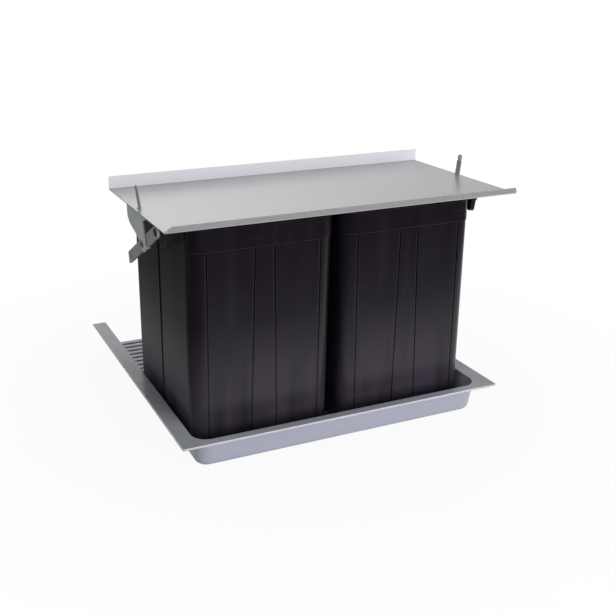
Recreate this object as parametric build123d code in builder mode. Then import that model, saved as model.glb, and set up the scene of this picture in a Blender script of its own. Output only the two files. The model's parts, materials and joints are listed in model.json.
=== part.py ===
from build123d import *
import math
import os

# Waste sorting set for a 600 mm drawer cabinet: a grey tray that lies in the drawer,
# two tall black bins in it, and a folded metal cover shelf that stays in the cabinet
# above them. The shelf lies over a bracket at each side of the cabinet, and a swing arm
# on each bracket lifts it while the drawer comes out.
# Millimetres. +X right, +Y towards the back of the cabinet, +Z up. The origin is under
# the middle of the tray, on the face that it stands on.

# Overall sizes
cover_width = 562.0
cover_depth = 285.0
cover_height = 357.9
cover_travel = 15.0
tray_side_gap = 17.5
tray_depth = 520.0
basin_depth = 47.0

# Cover shelf, one folded sheet
sheet = 1.2
bend_radius = 1.8
upstand_height = 20.0
lip_height = 9.0
lip_lean = 8.0
lip_cut_left = 12.0
lip_cut_right = 3.0
slot_side_gap = 0.35
slot_end_gap = 1.0

# Tray
tray_wall = 2.5
side_flange = 24.5
front_flange = 15.5
flange_corner_radius = 3.0
basin_corner_radius = 24.0
basin_draft = 8.0
basin_bottom_radius = 9.5
rim_radius = 2.0
rib_side_margin = 16.0
rib_width = 9.0
rib_height = 1.5
rib_pitch = 17.0
rib_rear_margin = 6.0
rib_front_margin = 14.0
rib_edge = 0.6

# Bins
bin_side_clearance = 1.8
bin_front_clearance = 28.0
bin_base_gap = 20.6
bin_base_depth = 273.0
bin_cover_gap = 14.3
bin_wall = 2.4
bin_floor = 3.0
bin_taper_side = 3.5
bin_taper_end = 6.4
bin_corner_radius = 22.0
bin_bottom_radius = 8.0
bin_rim_round = 0.8
skirt_height = 32.3
skirt_step = 1.1
outer_groove_top_inset = 20.5
outer_groove_base_inset = 22.5
strip_top_width = 30.0
strip_base_width = 41.0
groove_width = 3.0
groove_depth = 1.1
groove_base_margin = 12.0
side_channel_width = 12.0

# Side brackets, measured in the plane of the leaning plate
plate_edge_gap = 8.5
plate_lean = 8.0
plate = 2.0
leaf_length = 114.0
leaf_height = 71.0
leaf_setback = 110.0
leaf_cover_gap = 0.3
leaf_round = 2.5
boss_radius = 13.0
tab_setback = 34.0
tab_width = 10.0
tab_height = 26.0
neck_width = 5.5
head_rise = 5.0
head_radius = 4.6
head_hole_radius = 2.1
lug_start = 6.0
lug_length = 10.0
lug_gap = 0.3

# Leaf outline: shares of the leaf's length back from its front end, and of its height
# down from its top edge
leaf_outline_shares = (
    (0.0, 0.0),
    (0.0, 0.085),
    (0.27, 0.24),
    (0.276, 0.52),
    (0.32, 0.776),
    (0.579, 0.84),
    (0.664, 0.71),
    (0.86, 0.6),
    (0.971, 0.508),
    (1.0, 0.38),
    (0.945, 0.16),
    (0.93, 0.0),
)

# Swing arms, measured from the pivot towards the nose and towards the foot
pivot_back = 53.0
pivot_drop = 57.6
arm = 4.0
arm_width = 17.5
arm_angle = 26.0
arm_round = 2.0
nose_reach = 84.6
foot_top_reach = 120.0
foot_bottom_reach = 135.0
foot_slot_inset = 12.0
foot_slot_length = 9.0
foot_slot_width = 3.0

# Nose pads: a block on the arm's inboard face, with a stem through the arm
pad_cover_gap = 0.6
pad_crown_radius = 12.0
pad_crown_ahead = -1.5
pad_tip_radius = 4.5
pad_tip_ahead = 4.5
pad_tip_drop = 19.0
pad_thickness = 8.0
pad_round = 1.0
stem_radius = 3.5
stem_fit = 0.05
stem_head_radius = 5.8
stem_head = 1.2
stem_head_round = 0.5

# Pivot pins with their washers and clips
pin_radius = 3.0
pin_fit = 0.05
pin_seat_fit = 0.02
pin_head_radius = 5.5
pin_head = 1.6
pin_head_round = 0.7
pin_groove = 0.6
pin_end = 1.2
pin_chamfer = 0.4
washer = 0.5
washer_radius = 7.5
arm_play = 0.1
clip = 0.8
clip_radius = 6.0
clip_fit = 0.05
clip_mouth = 3.6

overrun = 30.0

# Worked-out places
tray_width = cover_width - 2 * tray_side_gap
tray_front = -tray_depth / 2
tray_back = tray_depth / 2
rim_z = basin_depth
floor_z = tray_wall
rib_top_z = floor_z + rib_height
basin_top_width = tray_width - 2 * side_flange
basin_floor_width = basin_top_width - 2 * basin_draft
basin_front = tray_front + front_flange
rib_length = basin_floor_width - 2 * rib_side_margin

cover_under = cover_height - sheet / 2
cover_top = cover_height + sheet / 2
cover_front = tray_front
cover_back = cover_front + cover_depth

bin_rim_z = cover_under - bin_cover_gap
skirt_z = bin_rim_z - skirt_height
bin_body_height = skirt_z - rib_top_z
bin_base_width = (basin_floor_width - 2 * bin_side_clearance - bin_base_gap) / 2
bin_x = -(bin_base_width + bin_base_gap) / 2
bin_front = basin_front + basin_draft + bin_front_clearance
bin_y = bin_front + bin_base_depth / 2
bin_top_width = bin_base_width + 2 * bin_taper_side
bin_top_depth = bin_base_depth + 2 * bin_taper_end

plate_x = cover_width / 2 - plate_edge_gap
leaf_front = cover_front + leaf_setback
tab_centre = leaf_front + tab_setback

# The left bracket's plate: its X runs to the back of the cabinet, its Y up the plate and
# its Z inboard. Its origin is where the middle of the plate crosses the cover sheet.
lean = math.radians(plate_lean)
left_plate = Plane(
    origin=(-plate_x, 0, cover_height),
    x_dir=(0, 1, 0),
    z_dir=(math.cos(lean), 0, math.sin(lean)),
)


def height_under_cover(gap, inboard):
    """Height up the plate of an edge that lies this far under the cover sheet."""
    return -(sheet / 2 + gap + inboard * math.sin(lean)) / math.cos(lean)


leaf_top = height_under_cover(leaf_cover_gap, plate / 2)
pivot_along = leaf_front + pivot_back
pivot_up = leaf_top - pivot_drop

# The left arm's plane: its X runs from the pivot to the foot and its Z inboard
pivot_place = Location((pivot_along, pivot_up, 0), (0, 0, -arm_angle))
arm_plane = Plane(left_plate.location * pivot_place)
arm_outer_face = plate / 2 + washer + arm_play
arm_inner_face = arm_outer_face + arm
nose_along = pivot_along - nose_reach * math.cos(math.radians(arm_angle))
nose_up = pivot_up + nose_reach * math.sin(math.radians(arm_angle))
pad_top = height_under_cover(pad_cover_gap, arm_inner_face + pad_thickness)


# Cover shelf: a low lip leans forward along its front edge, an upstand closes its back
lip_angle = math.radians(lip_lean)
lip_top_y = cover_front + sheet / 2 * math.cos(lip_angle)
lip_foot_y = lip_top_y + lip_height * math.tan(lip_angle)
upstand_y = cover_back - sheet / 2
slot_inner = plate_x - plate / 2 / math.cos(lean) - sheet / 2 * math.tan(lean) - slot_side_gap
slot_outer = (
    plate_x
    + plate / 2 / math.cos(lean)
    + (cover_travel + sheet / 2) * math.tan(lean)
    + slot_side_gap
)

with BuildPart() as cover_shelf:
    with BuildSketch(Plane.YZ):
        with BuildLine():
            FilletPolyline(
                (lip_top_y, cover_height + lip_height),
                (lip_foot_y, cover_height),
                (upstand_y, cover_height),
                (upstand_y, cover_top + upstand_height),
                radius=bend_radius,
            )
        trace(line_width=sheet)
    extrude(amount=cover_width / 2, both=True)
    with BuildSketch(Plane.XZ.offset(-lip_foot_y - bend_radius)):
        for side, cut in ((-1, lip_cut_left), (1, lip_cut_right)):
            edge = side * cover_width / 2
            lip_base = cover_top + bend_radius
            lip_top = cover_height + lip_height + sheet
            Polygon(
                (edge, lip_base),
                (edge + side * overrun, lip_base),
                (edge + side * overrun, lip_top),
                (edge - side * cut, lip_top),
                align=None,
            )
    extrude(amount=overrun, mode=Mode.SUBTRACT)
    with BuildSketch(Plane.XY.offset(cover_height)):
        for side in (-1, 1):
            with Locations((side * (slot_inner + slot_outer) / 2, tab_centre)):
                Rectangle(slot_outer - slot_inner, tab_width + 2 * slot_end_gap)
    extrude(amount=sheet, both=True, mode=Mode.SUBTRACT)


# Left bracket: a leaf under the cover, a tab through the cover's slot with a round head,
# and a lug bent inboard under the arm, on which the arm and the cover's weight rest
leaf_outline = [
    (leaf_front + along * leaf_length, leaf_top - down * leaf_height)
    for along, down in leaf_outline_shares
]

with BuildPart() as bracket:
    with BuildSketch(left_plate):
        Polygon(*leaf_outline, align=None)
        fillet(vertices().sort_by(Axis.Y)[:-2], radius=leaf_round)
        with Locations((pivot_along, pivot_up)):
            Circle(boss_radius)
        with Locations((tab_centre, leaf_top)):
            Rectangle(tab_width, tab_height - leaf_top, align=(Align.CENTER, Align.MIN))
            Rectangle(
                neck_width,
                tab_height - leaf_top + head_rise,
                align=(Align.CENTER, Align.MIN),
            )
        with Locations((tab_centre, tab_height + head_rise)):
            Circle(head_radius)
            Circle(head_hole_radius, mode=Mode.SUBTRACT)
    extrude(amount=plate / 2, both=True)
    lug_end = -lug_start - lug_length
    lug_base = -arm_width / 2 - lug_gap - plate
    with BuildSketch(arm_plane.offset(-plate / 2)):
        with Locations((lug_end, lug_base)):
            Rectangle(lug_length, -lug_base, align=(Align.MIN, Align.MIN))
    extrude(amount=plate)
    with BuildSketch(arm_plane.offset(-plate / 2)):
        with Locations((lug_end, lug_base)):
            Rectangle(lug_length, plate, align=(Align.MIN, Align.MIN))
    extrude(amount=arm_inner_face + plate / 2)
    with BuildSketch(arm_plane):
        Circle(pin_radius + pin_seat_fit)
    extrude(amount=plate, both=True, mode=Mode.SUBTRACT)


# Left swing arm: a flat bar with a round nose and a slanted foot
with BuildPart() as lift_arm:
    with BuildSketch(arm_plane.offset(arm_outer_face)):
        Polygon(
            (-nose_reach, -arm_width / 2),
            (foot_bottom_reach, -arm_width / 2),
            (foot_top_reach, arm_width / 2),
            (-nose_reach, arm_width / 2),
            align=None,
        )
        fillet(vertices().sort_by(Axis.X)[-2:], radius=arm_round)
        with Locations((-nose_reach, 0)):
            Circle(arm_width / 2)
            Circle(stem_radius + stem_fit, mode=Mode.SUBTRACT)
        Circle(pin_radius + pin_fit, mode=Mode.SUBTRACT)
        with Locations((foot_top_reach - foot_slot_inset, 0)):
            SlotOverall(foot_slot_length, foot_slot_width, mode=Mode.SUBTRACT)
    extrude(amount=arm)


# Left nose pad: a tapering block that reaches up to the cover, snapped to the arm
with BuildPart() as nose_pad:
    with BuildSketch(left_plate.offset(arm_inner_face)):
        with Locations((nose_along - pad_crown_ahead, pad_top - pad_crown_radius)):
            Circle(pad_crown_radius)
        with Locations((nose_along - pad_tip_ahead, nose_up - pad_tip_drop)):
            Circle(pad_tip_radius)
        make_hull()
    extrude(amount=pad_thickness)
    fillet(faces().sort_by(Axis.X)[-1].edges(), radius=pad_round)
    with BuildSketch(left_plate.offset(arm_outer_face)):
        with Locations((nose_along, nose_up)):
            Circle(stem_radius)
    extrude(amount=arm)
    with BuildSketch(left_plate.offset(arm_outer_face)):
        with Locations((nose_along, nose_up)):
            Circle(stem_head_radius)
    extrude(amount=-stem_head)
    fillet(faces().sort_by(Axis.X)[0].edges(), radius=stem_head_round)


# Left pivot pin, turned: a round head outside the leaf, a groove for the clip inboard
clip_face = arm_inner_face + arm_play
groove_radius = pin_radius - pin_groove
groove_start = clip_face - clip_fit
groove_end = clip_face + clip + clip_fit
pin_tip = groove_end + pin_end
head_face = -plate / 2 - pin_head
pin_section = Plane(
    origin=arm_plane.origin,
    x_dir=arm_plane.x_dir,
    z_dir=-arm_plane.y_dir,
)

with BuildPart() as pivot_pin:
    with BuildSketch(pin_section):
        with BuildLine():
            Line((0, pin_tip), (0, head_face))
            Line((0, head_face), (pin_head_radius - pin_head_round, head_face))
            RadiusArc(
                (pin_head_radius - pin_head_round, head_face),
                (pin_head_radius, head_face + pin_head_round),
                -pin_head_round,
            )
            Polyline(
                (pin_head_radius, head_face + pin_head_round),
                (pin_head_radius, -plate / 2),
                (pin_radius, -plate / 2),
                (pin_radius, groove_start),
                (groove_radius, groove_start),
                (groove_radius, groove_end),
                (pin_radius, groove_end),
                (pin_radius, pin_tip - pin_chamfer),
                (pin_radius - pin_chamfer, pin_tip),
                (0, pin_tip),
            )
        make_face()
    revolve(axis=Axis(arm_plane.origin, arm_plane.z_dir))


# Left thrust washer, between the leaf and the arm
with BuildPart() as thrust_washer:
    with BuildSketch(arm_plane.offset(plate / 2)):
        Circle(washer_radius)
        Circle(pin_radius + pin_fit, mode=Mode.SUBTRACT)
    extrude(amount=washer)


# Left pin clip, open on one side, snapped into the pin's groove
with BuildPart() as pin_clip:
    with BuildSketch(arm_plane.offset(clip_face)):
        Circle(clip_radius)
        Circle(groove_radius + clip_fit, mode=Mode.SUBTRACT)
        Rectangle(
            clip_mouth,
            clip_radius + overrun,
            align=(Align.CENTER, Align.MAX),
            mode=Mode.SUBTRACT,
        )
    extrude(amount=clip)


# Tray: a flat rim around a shallow basin that is open to the back, with a ribbed floor
basin_taper = math.degrees(math.atan(basin_draft / (basin_depth - tray_wall)))
basin_length = tray_back - basin_front + overrun

with BuildPart() as basin_hollow:
    with BuildSketch(Plane.XY.offset(rim_z)):
        with Locations((0, basin_front)):
            Rectangle(basin_top_width, basin_length, align=(Align.CENTER, Align.MIN))
        fillet(vertices().sort_by(Axis.Y)[:2], radius=basin_corner_radius)
    extrude(amount=floor_z - rim_z, taper=basin_taper)
    fillet(faces().sort_by(Axis.Z)[0].edges(), radius=basin_bottom_radius)

with BuildPart() as tray:
    with BuildSketch(Plane.XY.offset(rim_z)):
        with Locations((0, basin_front - tray_wall)):
            Rectangle(
                basin_top_width + 2 * tray_wall,
                basin_length + tray_wall,
                align=(Align.CENTER, Align.MIN),
            )
        fillet(vertices().sort_by(Axis.Y)[:2], radius=basin_corner_radius + tray_wall)
    extrude(amount=-rim_z, taper=basin_taper)
    fillet(faces().sort_by(Axis.Z)[0].edges(), radius=basin_bottom_radius + tray_wall)
    with BuildSketch(Plane.XY.offset(rim_z)):
        Rectangle(tray_width, tray_depth)
        fillet(vertices().sort_by(Axis.Y)[:2], radius=flange_corner_radius)
    extrude(amount=-tray_wall)
    add(basin_hollow.part, mode=Mode.SUBTRACT)
    split(bisect_by=Plane.XZ.offset(-tray_back), keep=Keep.TOP)
    rim_edges = edges().group_by(Axis.Z)[-1]
    rim_edges = rim_edges.filter_by_position(Axis.X, -basin_top_width / 2, basin_top_width / 2)
    fillet(rim_edges.filter_by_position(Axis.Y, basin_front, tray_back - rim_radius), radius=rim_radius)
    rib_space = tray_back - basin_front - basin_draft - rib_rear_margin - rib_front_margin
    rib_count = math.floor((rib_space - rib_width) / rib_pitch) + 1
    last_rib_y = tray_back - rib_rear_margin - rib_width / 2
    for rib in range(rib_count):
        with Locations((0, last_rib_y - rib * rib_pitch, floor_z)):
            Box(
                rib_length,
                rib_width,
                rib_height,
                align=(Align.CENTER, Align.CENTER, Align.MIN),
            )
    rib_tops = faces().filter_by_position(Axis.Z, rib_top_z - rib_edge, rib_top_z + rib_edge)
    chamfer(rib_tops.filter_by(Axis.Z).edges(), length=rib_edge)


# Left bin: a tapered box with rounded corners, a raised band along its rim, a centre
# strip between two grooves and a groove towards each corner on its front and its back,
# and a wide channel down the middle of each side
side_slope = bin_taper_side / bin_body_height
end_slope = bin_taper_end / bin_body_height
hollow_height = bin_rim_z - rib_top_z
hollow_base_width = bin_base_width - 2 * bin_wall + 2 * bin_floor * side_slope
hollow_base_depth = bin_base_depth - 2 * bin_wall + 2 * bin_floor * end_slope
hollow_corner = bin_corner_radius - bin_wall
side_face_tilt = math.atan(side_slope)
end_face_tilt = math.atan(end_slope)

with BuildPart() as bin_hollow:
    with BuildSketch(Plane.XY.offset(rib_top_z + bin_floor)):
        with Locations((bin_x, bin_y)):
            RectangleRounded(hollow_base_width, hollow_base_depth, hollow_corner)
    with BuildSketch(Plane.XY.offset(bin_rim_z)):
        with Locations((bin_x, bin_y)):
            RectangleRounded(
                bin_base_width - 2 * bin_wall + 2 * hollow_height * side_slope,
                bin_base_depth - 2 * bin_wall + 2 * hollow_height * end_slope,
                hollow_corner,
            )
    loft(ruled=True)
    fillet(faces().sort_by(Axis.Z)[0].edges(), radius=bin_bottom_radius - bin_wall)

with BuildPart() as bin:
    with BuildSketch(Plane.XY.offset(rib_top_z)):
        with Locations((bin_x, bin_y)):
            RectangleRounded(bin_base_width, bin_base_depth, bin_corner_radius)
    with BuildSketch(Plane.XY.offset(skirt_z)):
        with Locations((bin_x, bin_y)):
            RectangleRounded(bin_top_width, bin_top_depth, bin_corner_radius)
    loft(ruled=True)
    fillet(faces().sort_by(Axis.Z)[0].edges(), radius=bin_bottom_radius)
    for facing in (-1, 1):
        end_face = Plane(
            origin=(bin_x, bin_y + facing * bin_base_depth / 2, rib_top_z),
            x_dir=(-facing, 0, 0),
            z_dir=(0, facing * math.cos(end_face_tilt), -math.sin(end_face_tilt)),
        )
        with BuildSketch(end_face):
            with BuildLine():
                for base, top in (
                    (
                        bin_base_width / 2 - outer_groove_base_inset,
                        bin_base_width / 2 - outer_groove_top_inset,
                    ),
                    (strip_base_width / 2, strip_top_width / 2),
                ):
                    Line((-base, groove_base_margin), (-top, bin_body_height))
                    Line((base, groove_base_margin), (top, bin_body_height))
            trace(line_width=groove_width)
        extrude(amount=groove_depth, both=True, mode=Mode.SUBTRACT)
        side_face = Plane(
            origin=(bin_x + facing * bin_base_width / 2, bin_y, rib_top_z),
            x_dir=(0, facing, 0),
            z_dir=(facing * math.cos(side_face_tilt), 0, -math.sin(side_face_tilt)),
        )
        with BuildSketch(side_face):
            with Locations((0, groove_base_margin)):
                Rectangle(
                    side_channel_width,
                    bin_body_height - groove_base_margin,
                    align=(Align.CENTER, Align.MIN),
                )
        extrude(amount=groove_depth, both=True, mode=Mode.SUBTRACT)
    with BuildSketch(Plane.XY.offset(skirt_z)):
        with Locations((bin_x, bin_y)):
            RectangleRounded(
                bin_top_width + 2 * skirt_step,
                bin_top_depth + 2 * skirt_step,
                bin_corner_radius + skirt_step,
            )
    extrude(amount=skirt_height)
    add(bin_hollow.part, mode=Mode.SUBTRACT)
    fillet(edges().group_by(Axis.Z)[-1], radius=bin_rim_round)


# The right-hand pieces mirror the left-hand ones
os.makedirs("parts", exist_ok=True)

for name, piece in (("cover_shelf", cover_shelf), ("tray", tray)):
    piece.part.label = name
    export_step(piece.part, f"parts/{name}.step")

for name, left in (
    ("bracket", bracket),
    ("lift_arm", lift_arm),
    ("nose_pad", nose_pad),
    ("pivot_pin", pivot_pin),
    ("thrust_washer", thrust_washer),
    ("pin_clip", pin_clip),
    ("bin", bin),
):
    with BuildPart() as right:
        mirror(left.part, about=Plane.YZ)
    left.part.label = f"{name}_left"
    export_step(left.part, f"parts/{name}_left.step")
    right.part.label = f"{name}_right"
    export_step(right.part, f"parts/{name}_right.step")
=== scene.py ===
import json

import bpy
from mathutils import Matrix, Vector

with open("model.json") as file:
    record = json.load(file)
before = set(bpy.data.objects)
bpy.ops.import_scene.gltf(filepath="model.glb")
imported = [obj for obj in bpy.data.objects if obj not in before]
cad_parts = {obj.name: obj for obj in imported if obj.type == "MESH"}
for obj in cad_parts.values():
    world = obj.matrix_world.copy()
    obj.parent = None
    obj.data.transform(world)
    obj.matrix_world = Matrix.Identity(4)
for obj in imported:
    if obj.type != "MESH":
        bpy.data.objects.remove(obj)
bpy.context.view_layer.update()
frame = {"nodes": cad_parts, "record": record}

nodes = frame["nodes"]

# Places where a finish, a painted shade or a painted light changes on a piece, in metres:
# X and Y from the middle of the whole, Z from its foot. The change starts at the first number and
# is complete at the second.
ABOVE_COVER_SHEET_Z = (0.3588, 0.3596)
UPSTAND_Y = (0.0222, 0.0234)
LIP_Y = (-0.2578, -0.2584)
FOLD_SHADE_Y = (-0.07, 0.02)
TAB_Z = (0.358, 0.361)
SIDE_RIM_X = (0.232, 0.24)
RIM_Z = (0.04, 0.045)
BIN_FRONT_Y = (-0.2, -0.1)
BIN_REAR_Y = (0.16, 0.04)
RIB_ENDS_X = (0.212, 0.206)
FIRST_RIB_Y = (-0.235, -0.228)
RIB_FOOT_Z = (0.0021, 0.0024)
RIB_TOP_Z = (0.00405, 0.0037)
BIN_FOOT_Z = (0.2, 0.05)
BIN_GROOVES_Z = (0.06, 0.22)

WHITE = (1.0, 1.0, 1.0, 1.0)


# Small helpers for node trees

def shader_group(name, inputs, outputs):
    """A shader node group with named inputs (name, default) and outputs (name, kind)."""
    tree = bpy.data.node_groups.new(name, "ShaderNodeTree")
    for label, default in inputs:
        socket = tree.interface.new_socket(label, in_out="INPUT",
                                           socket_type="NodeSocketFloat")
        socket.default_value = default
    for label, kind in outputs:
        tree.interface.new_socket(label, in_out="OUTPUT", socket_type=kind)
    given = tree.nodes.new("NodeGroupInput").outputs
    return tree, given, tree.nodes.new("NodeGroupOutput").inputs


def add(tree, kind, links=None, **settings):
    """A node of this kind, its settings made and its inputs linked or set by name or place."""
    node = tree.nodes.new(kind)
    for key, value in settings.items():
        setattr(node, key, value)
    for socket, source in (links or {}).items():
        if isinstance(source, bpy.types.NodeSocket):
            tree.links.new(source, node.inputs[socket])
        else:
            node.inputs[socket].default_value = source
    return node


def math_node(tree, operation, first, second, clamp=False):
    node = add(tree, "ShaderNodeMath", {0: first, 1: second},
               operation=operation, use_clamp=clamp)
    return node.outputs[0]


def times(tree, first, second):
    return math_node(tree, "MULTIPLY", first, second)


def plus(tree, first, second):
    return math_node(tree, "ADD", first, second)


def larger(tree, first, second):
    return math_node(tree, "MAXIMUM", first, second)


def object_place(tree):
    return add(tree, "ShaderNodeTexCoord").outputs["Object"]


def split(tree, vector):
    """The X, Y and Z of a vector."""
    return add(tree, "ShaderNodeSeparateXYZ", {0: vector}).outputs


def ramp(tree, value, start, end, at_start=0.0, at_end=1.0):
    """Goes evenly from at_start to at_end while the value goes from start to end."""
    node = add(tree, "ShaderNodeMapRange",
               {"Value": value, "From Min": start, "From Max": end,
                "To Min": at_start, "To Max": at_end})
    return node.outputs["Result"]


def between(tree, mask, at_zero, at_one):
    """The number at_zero where the mask is 0, and at_one where it is 1."""
    return ramp(tree, mask, 0.0, 1.0, at_zero, at_one)


def noise(tree, place, scale, detail, roughness=0.5):
    node = add(tree, "ShaderNodeTexNoise",
               {"Vector": place, "Scale": scale, "Detail": detail, "Roughness": roughness})
    return node.outputs["Fac"]


# Shader groups shared by the finishes

def make_grain_group():
    """The fine skin of a moulding or a powder coat: two sizes of soft bumps."""
    tree, given, out = shader_group(
        "fine skin", [("Bumps per metre", 900.0), ("Coarse share", 0.4)],
        [("Height", "NodeSocketFloat")])
    place = object_place(tree)
    coarse_to_fine = 0.27
    fine = noise(tree, place, given["Bumps per metre"], detail=2.0)
    coarse_scale = times(tree, given["Bumps per metre"], coarse_to_fine)
    coarse = noise(tree, place, coarse_scale, detail=1.0)
    coarse_part = times(tree, coarse, given["Coarse share"])
    tree.links.new(plus(tree, fine, coarse_part), out["Height"])
    return tree


def make_cloud_group():
    """Soft uneven patches, for small changes of colour and gloss."""
    tree, given, out = shader_group(
        "soft patches", [("Patches per metre", 9.0), ("Contrast", 0.5)],
        [("Mask", "NodeSocketFloat")])
    clouds = noise(tree, object_place(tree), given["Patches per metre"],
                   detail=4.0, roughness=0.55)
    middle = 0.5
    spread = times(tree, math_node(tree, "SUBTRACT", clouds, middle), given["Contrast"])
    tree.links.new(math_node(tree, "ADD", spread, middle, clamp=True), out["Mask"])
    return tree


def make_scratch_group():
    """Hairline rubbing marks in two directions, in some places only."""
    tree, given, out = shader_group(
        "hairlines", [("Lines per metre", 420.0), ("Coverage", 0.3)],
        [("Mask", "NodeSocketFloat")])
    place = object_place(tree)
    turns_and_stretches = ((0.18, 0.03), (1.32, 0.04))
    fade_share = 0.75
    masks = []
    for turn, stretch in turns_and_stretches:
        lay = add(tree, "ShaderNodeMapping",
                  {"Vector": place, "Rotation": (0.0, 0.0, turn),
                   "Scale": (stretch, 1.0, 1.0)})
        lines = noise(tree, lay.outputs[0], given["Lines per metre"], detail=1.0)
        masks.append(ramp(tree, lines, start=0.66, end=0.78))
    both = larger(tree, *masks)
    where = noise(tree, place, scale=14.0, detail=3.0)
    threshold = math_node(tree, "SUBTRACT", 1.0, given["Coverage"])
    inside = ramp(tree, where, start=times(tree, threshold, fade_share), end=threshold)
    tree.links.new(times(tree, both, inside), out["Mask"])
    return tree


def make_edge_group():
    """Softened corners, with a mask of where an edge is."""
    tree, given, out = shader_group(
        "soft edges", [("Radius", 0.0005)],
        [("Normal", "NodeSocketVector"), ("Mask", "NodeSocketFloat")])
    rounded = add(tree, "ShaderNodeBevel", {"Radius": given["Radius"]}, samples=6).outputs[0]
    flat = add(tree, "ShaderNodeNewGeometry").outputs["Normal"]
    alike = add(tree, "ShaderNodeVectorMath", {0: rounded, 1: flat},
                operation="DOT_PRODUCT").outputs["Value"]
    tree.links.new(rounded, out["Normal"])
    tree.links.new(ramp(tree, alike, start=0.998, end=0.92), out["Mask"])
    return tree


def make_dust_group():
    """Fine dust that settles on faces that look up."""
    tree, given, out = shader_group(
        "settled dust", [("Amount", 0.2), ("Patches per metre", 30.0)],
        [("Mask", "NodeSocketFloat")])
    up = split(tree, add(tree, "ShaderNodeNewGeometry").outputs["Normal"])["Z"]
    facing = ramp(tree, up, start=0.35, end=0.95)
    clouds = noise(tree, object_place(tree), given["Patches per metre"],
                   detail=6.0, roughness=0.7)
    patchy = ramp(tree, clouds, start=0.4, end=0.75)
    tree.links.new(times(tree, times(tree, facing, patchy), given["Amount"]), out["Mask"])
    return tree


def make_hollow_group():
    """Grooves and inside corners of a piece, a mask for painted shade where less light gets in.
    """
    tree, given, out = shader_group(
        "hollows", [("Reach", 0.003), ("Open share", 0.9), ("Deep share", 0.6)],
        [("Mask", "NodeSocketFloat")])
    shelter = add(tree, "ShaderNodeAmbientOcclusion", {"Distance": given["Reach"]},
                  samples=8, only_local=True)
    depth = ramp(tree, shelter.outputs["AO"], given["Open share"], given["Deep share"])
    tree.links.new(depth, out["Mask"])
    return tree


fine_skin = make_grain_group()
soft_patches = make_cloud_group()
hairlines = make_scratch_group()
soft_edges = make_edge_group()
settled_dust = make_dust_group()
hollows = make_hollow_group()


# Helpers for the materials

def use(tree, group, **values):
    """The group placed in a material, with its named inputs set."""
    node = add(tree, "ShaderNodeGroup", node_tree=group)
    for label, value in values.items():
        node.inputs[label.replace("_", " ")].default_value = value
    return node.outputs


def blend_colours(tree, mask, under, over, share=None):
    """Mixes two colours, each a colour or a socket, by a mask or by a share of it."""
    if share is not None:
        mask = times(tree, mask, share)
    node = add(tree, "ShaderNodeMix", {"Factor": mask}, data_type="RGBA")
    colour_inputs = [s for s in node.inputs if s.type == "RGBA"]
    for socket, colour in zip(colour_inputs, (under, over)):
        if isinstance(colour, bpy.types.NodeSocket):
            tree.links.new(colour, socket)
        else:
            socket.default_value = (*colour, 1.0)
    return [s for s in node.outputs if s.type == "RGBA"][0]


def new_material(name, **plain):
    """A material with one Principled shader; the plain sockets are set on it."""
    material = bpy.data.materials.new(name)
    material.use_nodes = True
    tree = material.node_tree
    shader = next(n for n in tree.nodes if n.type == "BSDF_PRINCIPLED")
    for label, value in plain.items():
        shader.inputs[label.replace("_", " ")].default_value = value
    return material, tree, shader


def dress(tree, shader, colour, rough, skin, edge, strength, distance=0.0002):
    """Links the colour and roughness, and the skin as bumps on the softened edges."""
    tree.links.new(colour, shader.inputs["Base Color"])
    tree.links.new(rough, shader.inputs["Roughness"])
    bumps = add(tree, "ShaderNodeBump",
                {"Height": skin, "Strength": strength, "Distance": distance,
                 "Normal": edge["Normal"]})
    tree.links.new(bumps.outputs[0], shader.inputs["Normal"])


def cover_paint():
    """Silver grey powder coat on the cover shelf, rubbed by what lies on it, with painted shade
    along the fold and on the lip, painted light on the upstand and painted highlights on the
    edges."""
    silver_low, silver_high = (0.56, 0.56, 0.555), (0.61, 0.61, 0.6)
    # Colours of the painted shade by the fold and on the lip, and of the painted light on the
    # upstand.
    fold_shade_colour, upstand_light_colour = (0.36, 0.355, 0.385), (0.8, 0.79, 0.865)
    lip_shade_colour = (0.235, 0.232, 0.25)
    fleck, rubbed_bright, edge_bright = (0.72, 0.72, 0.71), (0.74, 0.74, 0.74), (0.75, 0.75, 0.74)

    material, tree, shader = new_material("silver powder coat", IOR=1.5)
    edge = use(tree, soft_edges, Radius=0.0006)
    patch = use(tree, soft_patches, Patches_per_metre=5.0, Contrast=1.3)["Mask"]
    skin = use(tree, fine_skin, Bumps_per_metre=1100.0, Coarse_share=0.5)["Height"]
    rub = use(tree, hairlines, Lines_per_metre=500.0, Coverage=0.42)["Mask"]
    place = split(tree, object_place(tree))
    above = ramp(tree, place["Z"], *ABOVE_COVER_SHEET_Z)
    upstand = times(tree, above, ramp(tree, place["Y"], *UPSTAND_Y))
    lip = times(tree, above, ramp(tree, place["Y"], *LIP_Y))
    # Painted shade along the fold, where the upstand keeps light off the sheet.
    fold_shade = ramp(tree, place["Y"], *FOLD_SHADE_Y, at_end=0.6)
    flecks = ramp(tree, skin, start=0.55, end=0.95)

    colour = blend_colours(tree, patch, silver_low, silver_high)
    colour = blend_colours(tree, fold_shade, colour, fold_shade_colour)
    # Painted light on the upstand and painted shade on the lip; both are the same sheet as the
    # top.
    colour = blend_colours(tree, upstand, colour, upstand_light_colour)
    colour = blend_colours(tree, lip, colour, lip_shade_colour)
    colour = blend_colours(tree, flecks, colour, fleck, share=0.25)
    colour = blend_colours(tree, rub, colour, rubbed_bright, share=0.25)
    # Edges lightened as a painted highlight.
    colour = blend_colours(tree, edge["Mask"], colour, edge_bright, share=0.5)
    folded = larger(tree, upstand, lip)
    tree.links.new(between(tree, folded, 0.72, 0.15), shader.inputs["Metallic"])
    rougher_on_folds = 0.15
    rough = plus(tree, between(tree, patch, 0.28, 0.35), times(tree, folded, rougher_on_folds))
    dress(tree, shader, colour, rough, skin, edge, strength=0.12)
    return material


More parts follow.
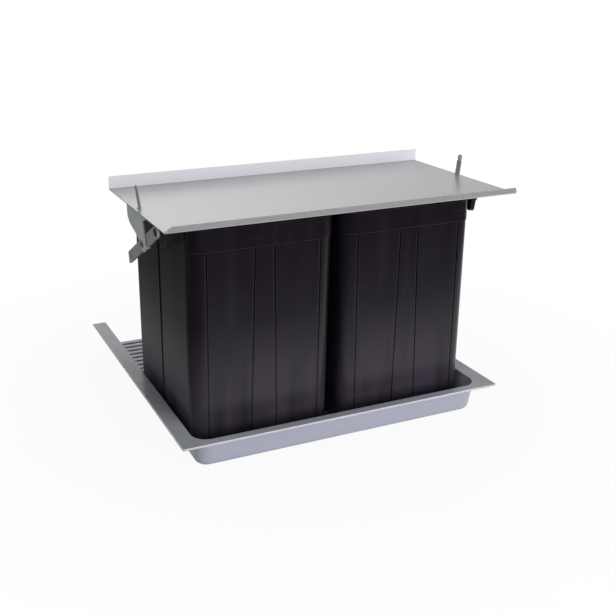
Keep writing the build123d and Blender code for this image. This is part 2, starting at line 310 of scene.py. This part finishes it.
def bracket_paint(name, low, high, bright, tab=None):
    """Satin paint on the steel brackets and arms. A tab colour is for what stands above the
    cover."""
    material, tree, shader = new_material(name, Metallic=0.35, IOR=1.5)
    edge = use(tree, soft_edges, Radius=0.0005)
    patch = use(tree, soft_patches, Patches_per_metre=35.0, Contrast=1.6)["Mask"]
    skin = use(tree, fine_skin, Bumps_per_metre=1400.0, Coarse_share=0.6)["Height"]
    rub = use(tree, hairlines, Lines_per_metre=900.0, Coverage=0.5)["Mask"]

    colour = blend_colours(tree, patch, low, high)
    colour = blend_colours(tree, rub, colour, bright, share=0.35)
    # Edges lightened as a painted highlight, in the same colour as the rubbed lines.
    colour = blend_colours(tree, edge["Mask"], colour, bright, share=0.3)
    if tab:
        height = split(tree, object_place(tree))["Z"]
        colour = blend_colours(tree, ramp(tree, height, *TAB_Z, at_end=0.85), colour, tab)
    rough = between(tree, patch, 0.38, 0.55)
    dress(tree, shader, colour, rough, skin, edge, strength=0.3)
    return material


def tray_plastic():
    """Satin grey moulding with a fine grain, a little dusty in the basin, with painted highlights
    on its edges, painted shade on the side rims and beside the bins, and painted shade in hollows
    and in the gaps between the ribs."""
    grey_low, grey_high = (0.33, 0.34, 0.42), (0.365, 0.375, 0.46)
    side_rim_shade_colour, bin_side_shade_colour = (0.3, 0.315, 0.345), (0.08, 0.085, 0.09)
    rubbed_bright, dust_colour = (0.55, 0.56, 0.58), (0.5, 0.5, 0.5)
    recess_shade_colour, edge_bright = (0.03, 0.03, 0.035), (0.9, 0.9, 0.92)

    material, tree, shader = new_material("grey tray moulding", IOR=1.56)
    edge = use(tree, soft_edges, Radius=0.0022)
    deep = use(tree, hollows, Reach=0.01, Open_share=0.93, Deep_share=0.7)["Mask"]
    patch = use(tree, soft_patches, Patches_per_metre=6.0, Contrast=1.2)["Mask"]
    skin = use(tree, fine_skin, Bumps_per_metre=1500.0, Coarse_share=0.3)["Height"]
    rub = use(tree, hairlines, Lines_per_metre=650.0, Coverage=0.45)["Mask"]
    dust = use(tree, settled_dust, Amount=0.25, Patches_per_metre=40.0)["Mask"]
    place = split(tree, object_place(tree))
    from_middle = math_node(tree, "ABSOLUTE", place["X"], 0.0)
    # Painted shade on the side rims, which get less light than the wall below.
    side_rim_shade = times(tree, ramp(tree, from_middle, *SIDE_RIM_X),
                     ramp(tree, place["Z"], *RIM_Z))
    # Painted shade on the side rims beside the bins.
    bin_side_shade = times(tree, ramp(tree, place["Y"], *BIN_FRONT_Y),
                       ramp(tree, place["Y"], *BIN_REAR_Y, at_end=0.6))
    # Painted shade in the gaps between the ribs, below the rib tops.
    among_ribs = times(tree, ramp(tree, from_middle, *RIB_ENDS_X),
                       ramp(tree, place["Y"], *FIRST_RIB_Y, at_end=0.7))
    below_rib_tops = times(tree, ramp(tree, place["Z"], *RIB_FOOT_Z),
                           ramp(tree, place["Z"], *RIB_TOP_Z))
    # Painted shade in hollows and between the ribs.
    recess_shade_share = 0.85
    dark = larger(tree, times(tree, deep, recess_shade_share), times(tree, among_ribs, below_rib_tops))
    # Painted highlight on the edges, kept out of the hollows.
    bright = times(tree, edge["Mask"], math_node(tree, "SUBTRACT", 1.0, deep, clamp=True))

    colour = blend_colours(tree, patch, grey_low, grey_high)
    colour = blend_colours(tree, side_rim_shade, colour, side_rim_shade_colour)
    colour = blend_colours(tree, bin_side_shade, colour, bin_side_shade_colour, share=side_rim_shade)
    colour = blend_colours(tree, rub, colour, rubbed_bright, share=0.3)
    colour = blend_colours(tree, dust, colour, dust_colour)
    colour = blend_colours(tree, dark, colour, recess_shade_colour)
    colour = blend_colours(tree, bright, colour, edge_bright)
    rough = between(tree, patch, 0.22, 0.3)
    dress(tree, shader, colour, rough, skin, edge, strength=0.2)
    return material


def bin_plastic():
    """Black moulding with a soft leather-like grain and flow marks up the walls, with a painted
    reflection of the floor on the lower walls, painted highlights on the edges and painted shade
    in the grooves."""
    black_low, black_high = (0.0065, 0.0045, 0.0075), (0.0095, 0.0065, 0.0105)
    floor_reflection_colour, flow_colour = (0.04, 0.033, 0.045), (0.013, 0.011, 0.016)
    rubbed_bright, dust_colour = (0.07, 0.07, 0.075), (0.2, 0.2, 0.2)
    edge_bright, groove_shade_colour = (0.11, 0.11, 0.12), (0.001, 0.001, 0.0012)

    material, tree, shader = new_material("black bin moulding", IOR=1.42)
    edge = use(tree, soft_edges, Radius=0.0009)
    deep = use(tree, hollows, Reach=0.003, Open_share=0.9, Deep_share=0.6)["Mask"]
    skin = use(tree, fine_skin, Bumps_per_metre=1300.0, Coarse_share=0.7)["Height"]
    patch = use(tree, soft_patches, Patches_per_metre=7.0, Contrast=1.4)["Mask"]
    rub = use(tree, hairlines, Lines_per_metre=500.0, Coverage=0.4)["Mask"]
    dust = use(tree, settled_dust, Amount=0.15, Patches_per_metre=50.0)["Mask"]
    place = object_place(tree)
    height = split(tree, place)["Z"]
    upright = add(tree, "ShaderNodeMapping", {"Vector": place, "Scale": (1.0, 1.0, 0.12)})
    flow = noise(tree, upright.outputs[0], scale=32.0, detail=3.0)
    flow = ramp(tree, flow, start=0.45, end=0.8)
    # Painted highlight on the edges, kept out of the hollows.
    bright = times(tree, edge["Mask"], math_node(tree, "SUBTRACT", 1.0, deep, clamp=True))
    # Painted shade in the grooves: near black and metallic there, so they lose their sheen.
    groove_shade = times(tree, deep, ramp(tree, height, *BIN_GROOVES_Z, at_start=0.45))

    colour = blend_colours(tree, patch, black_low, black_high)
    # Painted reflection of the floor, paler towards the foot.
    colour = blend_colours(tree, ramp(tree, height, *BIN_FOOT_Z), colour, floor_reflection_colour)
    colour = blend_colours(tree, flow, colour, flow_colour)
    colour = blend_colours(tree, rub, colour, rubbed_bright, share=0.12)
    colour = blend_colours(tree, dust, colour, dust_colour)
    colour = blend_colours(tree, bright, colour, edge_bright, share=0.5)
    colour = blend_colours(tree, groove_shade, colour, groove_shade_colour)
    tree.links.new(groove_shade, shader.inputs["Metallic"])
    rough = between(tree, patch, 0.21, 0.28)
    dress(tree, shader, colour, rough, skin, edge, strength=0.35)
    return material


def pad_plastic():
    """Black slippery moulding of the nose pads, worn at the edges."""
    black_low, black_high = (0.007, 0.007, 0.008), (0.013, 0.013, 0.015)
    edge_bright = (0.05, 0.05, 0.05)

    material, tree, shader = new_material("black pad moulding", IOR=1.5)
    edge = use(tree, soft_edges, Radius=0.0004)
    skin = use(tree, fine_skin, Bumps_per_metre=2500.0, Coarse_share=0.3)["Height"]
    patch = use(tree, soft_patches, Patches_per_metre=90.0, Contrast=1.5)["Mask"]
    colour = blend_colours(tree, patch, black_low, black_high)
    colour = blend_colours(tree, edge["Mask"], colour, edge_bright, share=0.4)
    rough = between(tree, patch, 0.3, 0.5)
    dress(tree, shader, colour, rough, skin, edge, strength=0.2, distance=0.0001)
    return material


def washer_nylon():
    """Natural nylon, milky."""
    milky_low, milky_high = (0.62, 0.6, 0.54), (0.72, 0.71, 0.66)

    material, tree, shader = new_material("natural nylon", IOR=1.53, Subsurface_Weight=0.1)
    skin = use(tree, fine_skin, Bumps_per_metre=3000.0, Coarse_share=0.5)["Height"]
    patch = use(tree, soft_patches, Patches_per_metre=200.0, Contrast=1.4)["Mask"]
    edge = use(tree, soft_edges, Radius=0.0001)
    colour = blend_colours(tree, patch, milky_low, milky_high)
    rough = between(tree, patch, 0.35, 0.5)
    dress(tree, shader, colour, rough, skin, edge, strength=0.15, distance=0.0001)
    return material


def turned_steel(name, low, high, gloss):
    """Plated or sprung steel of the pins and clips, with fine turning lines. The roughness
    goes from one number of gloss to the other."""
    line_bright = (0.85, 0.85, 0.84)

    material, tree, shader = new_material(name, Metallic=1.0)
    edge = use(tree, soft_edges, Radius=0.00025)
    patch = use(tree, soft_patches, Patches_per_metre=260.0, Contrast=1.7)["Mask"]
    rub = use(tree, hairlines, Lines_per_metre=2600.0, Coverage=0.6)["Mask"]
    skin = use(tree, fine_skin, Bumps_per_metre=4200.0, Coarse_share=0.4)["Height"]
    colour = blend_colours(tree, patch, low, high)
    colour = blend_colours(tree, rub, colour, line_bright, share=0.4)
    rough = between(tree, patch, *gloss)
    dress(tree, shader, colour, rough, skin, edge, strength=0.15, distance=0.0001)
    return material


finishes = {
    "cover_paint": cover_paint(),
    "bracket_paint": bracket_paint(
        "bracket paint", low=(0.46, 0.5, 0.48), high=(0.57, 0.615, 0.59),
        bright=(0.82, 0.84, 0.82), tab=(0.24, 0.25, 0.24)),
    "arm_paint": bracket_paint(
        "arm paint", low=(0.3, 0.315, 0.31), high=(0.375, 0.395, 0.385),
        bright=(0.6, 0.61, 0.6)),
    "tray_plastic": tray_plastic(),
    "bin_plastic": bin_plastic(),
    "pad_plastic": pad_plastic(),
    "washer_nylon": washer_nylon(),
    "pin_steel": turned_steel(
        "zinc plated pin", low=(0.3, 0.3, 0.3), high=(0.4, 0.4, 0.39), gloss=(0.3, 0.45)),
    "clip_steel": turned_steel(
        "spring steel clip", low=(0.2, 0.2, 0.21), high=(0.3, 0.3, 0.3), gloss=(0.3, 0.48)),
}

for part in frame["record"]["subparts"]:
    data = nodes[part["node"]].data
    data.materials.clear()
    data.materials.append(finishes[part["material_slot"]])


# Stage: a white floor that keeps a soft shadow, and a white surrounding

def seen_ray(tree, rays):
    """1 for rays that show what is seen directly or through glass."""
    return larger(tree, rays["Is Camera Ray"], rays["Is Transmission Ray"])


def by_gloss(tree, rays, otherwise, in_gloss):
    """One number for reflections and another for all other rays."""
    node = add(tree, "ShaderNodeMix",
               {"Factor": rays["Is Glossy Ray"], "A": otherwise, "B": in_gloss})
    return node.outputs["Result"]


def white_floor():
    """Matt where light falls on it, and glowing white where it is seen. Its glow is weaker in
    reflections towards the front and the left, and leaves some shadow near the middle."""
    left, right, front, rear = -0.9, 1.0, -0.95, 1.1
    matt_grey = (0.8, 0.8, 0.8, 1.0)
    mesh = bpy.data.meshes.new("floor")
    mesh.from_pydata([(left, front, 0), (right, front, 0), (right, rear, 0), (left, rear, 0)],
                     [], [(0, 1, 2, 3)])
    material = bpy.data.materials.new("white floor")
    material.use_nodes = True
    tree = material.node_tree
    tree.nodes.clear()
    rays = add(tree, "ShaderNodeLightPath").outputs
    point = object_place(tree)
    place = split(tree, point)
    ahead = ramp(tree, place["Y"], start=-0.8, end=-0.45, at_start=0.12, at_end=0.7)
    aside = ramp(tree, place["X"], start=-0.4, end=-0.1, at_start=0.07, at_end=1.0)
    strength = by_gloss(tree, rays, otherwise=1.0, in_gloss=times(tree, ahead, aside))
    distance = add(tree, "ShaderNodeVectorMath", {0: point},
                   operation="LENGTH").outputs["Value"]
    unshaded = ramp(tree, distance, start=0.35, end=0.75, at_start=0.93, at_end=1.0)
    seen = larger(tree, seen_ray(tree, rays), rays["Is Glossy Ray"])
    matt = add(tree, "ShaderNodeBsdfDiffuse", {"Color": matt_grey})
    glow = add(tree, "ShaderNodeEmission", {"Color": WHITE, "Strength": strength})
    mixed = add(tree, "ShaderNodeMixShader",
                {0: times(tree, seen, unshaded), 1: matt.outputs[0], 2: glow.outputs[0]})
    add(tree, "ShaderNodeOutputMaterial", {"Surface": mixed.outputs[0]})
    mesh.materials.append(material)
    placed = bpy.data.objects.new("floor", mesh)
    bpy.context.scene.collection.objects.link(placed)
    return placed


floor = white_floor()


def studio_world():
    """White where it is seen. It lights the object softly, more from behind, the sides and
    above, and shows a white backdrop and a dim front in reflections. Each ramp reads the
    direction, from -1 to 1 along each axis."""
    world = bpy.data.worlds.new("studio")
    world.use_nodes = True
    tree = world.node_tree
    tree.nodes.clear()
    towards = split(tree, add(tree, "ShaderNodeTexCoord").outputs["Generated"])

    behind = ramp(tree, towards["Y"], start=0.3, end=0.9, at_start=0.27, at_end=0.85)
    on_right = ramp(tree, towards["X"], start=0.1, end=0.9, at_end=0.35)
    on_left = ramp(tree, towards["X"], start=-0.1, end=-0.9, at_end=0.45)
    overhead = ramp(tree, towards["Z"], start=0.4, end=1.0, at_end=0.22)
    room = plus(tree, plus(tree, behind, plus(tree, on_right, on_left)), overhead)

    backdrop = ramp(tree, towards["Y"], start=-0.1, end=0.25, at_start=0.045)
    left_fade = ramp(tree, towards["X"], start=-0.05, end=0.2, at_start=0.1)
    right_fade = ramp(tree, towards["X"], start=0.28, end=0.62, at_start=1.05, at_end=0.55)
    ceiling = ramp(tree, towards["Z"], start=0.15, end=0.4, at_end=0.6)
    around = times(tree, times(tree, backdrop, left_fade), right_fade)
    mirrored = larger(tree, around, ceiling)

    rays = add(tree, "ShaderNodeLightPath").outputs
    lit = by_gloss(tree, rays, otherwise=room, in_gloss=mirrored)
    level = larger(tree, seen_ray(tree, rays), lit)
    sky = add(tree, "ShaderNodeBackground", {"Color": WHITE, "Strength": level})
    add(tree, "ShaderNodeOutputWorld", {"Surface": sky.outputs[0]})
    return world


bpy.context.scene.world = studio_world()


def softbox(name, place, aim, size, power):
    """A square area lamp at this place, turned to this point. It isn't seen in gloss."""
    lamp = bpy.data.lights.new(name, "AREA")
    lamp.shape = "SQUARE"
    lamp.size = size
    lamp.energy = power
    holder = bpy.data.objects.new(name, lamp)
    holder.visible_glossy = False
    bpy.context.scene.collection.objects.link(holder)
    away = (Vector(place) - Vector(aim)).normalized()
    turn = away.to_track_quat("Z", "Y").to_matrix().to_4x4()
    holder.matrix_world = Matrix.Translation(place) @ turn


softbox("front softbox", place=(1.6, -4.35, 0.95), aim=(0.0, -0.1, 0.2), size=2.0, power=160.0)


def photo_camera():
    """The camera at the photograph's place, with its frame's shift."""
    place = (-0.63255, -1.37833, 0.68777)
    right = Vector((0.9177279, -0.3971943, -0.0034903))
    up = Vector((0.0946939, 0.2102422, 0.9730526))
    back = Vector((-0.3857571, -0.893328, 0.230557))
    view = bpy.data.cameras.new("photo view")
    view.sensor_width = 36.0
    view.lens = 54.628
    view.shift_x = 0.08106
    view.shift_y = -0.18519
    holder = bpy.data.objects.new("photo view", view)
    bpy.context.scene.collection.objects.link(holder)
    turn = Matrix((right, up, back)).transposed().to_4x4()
    holder.matrix_world = Matrix.Translation(place) @ turn
    return holder


bpy.context.scene.camera = photo_camera()
bpy.context.scene.view_settings.view_transform = "Standard"
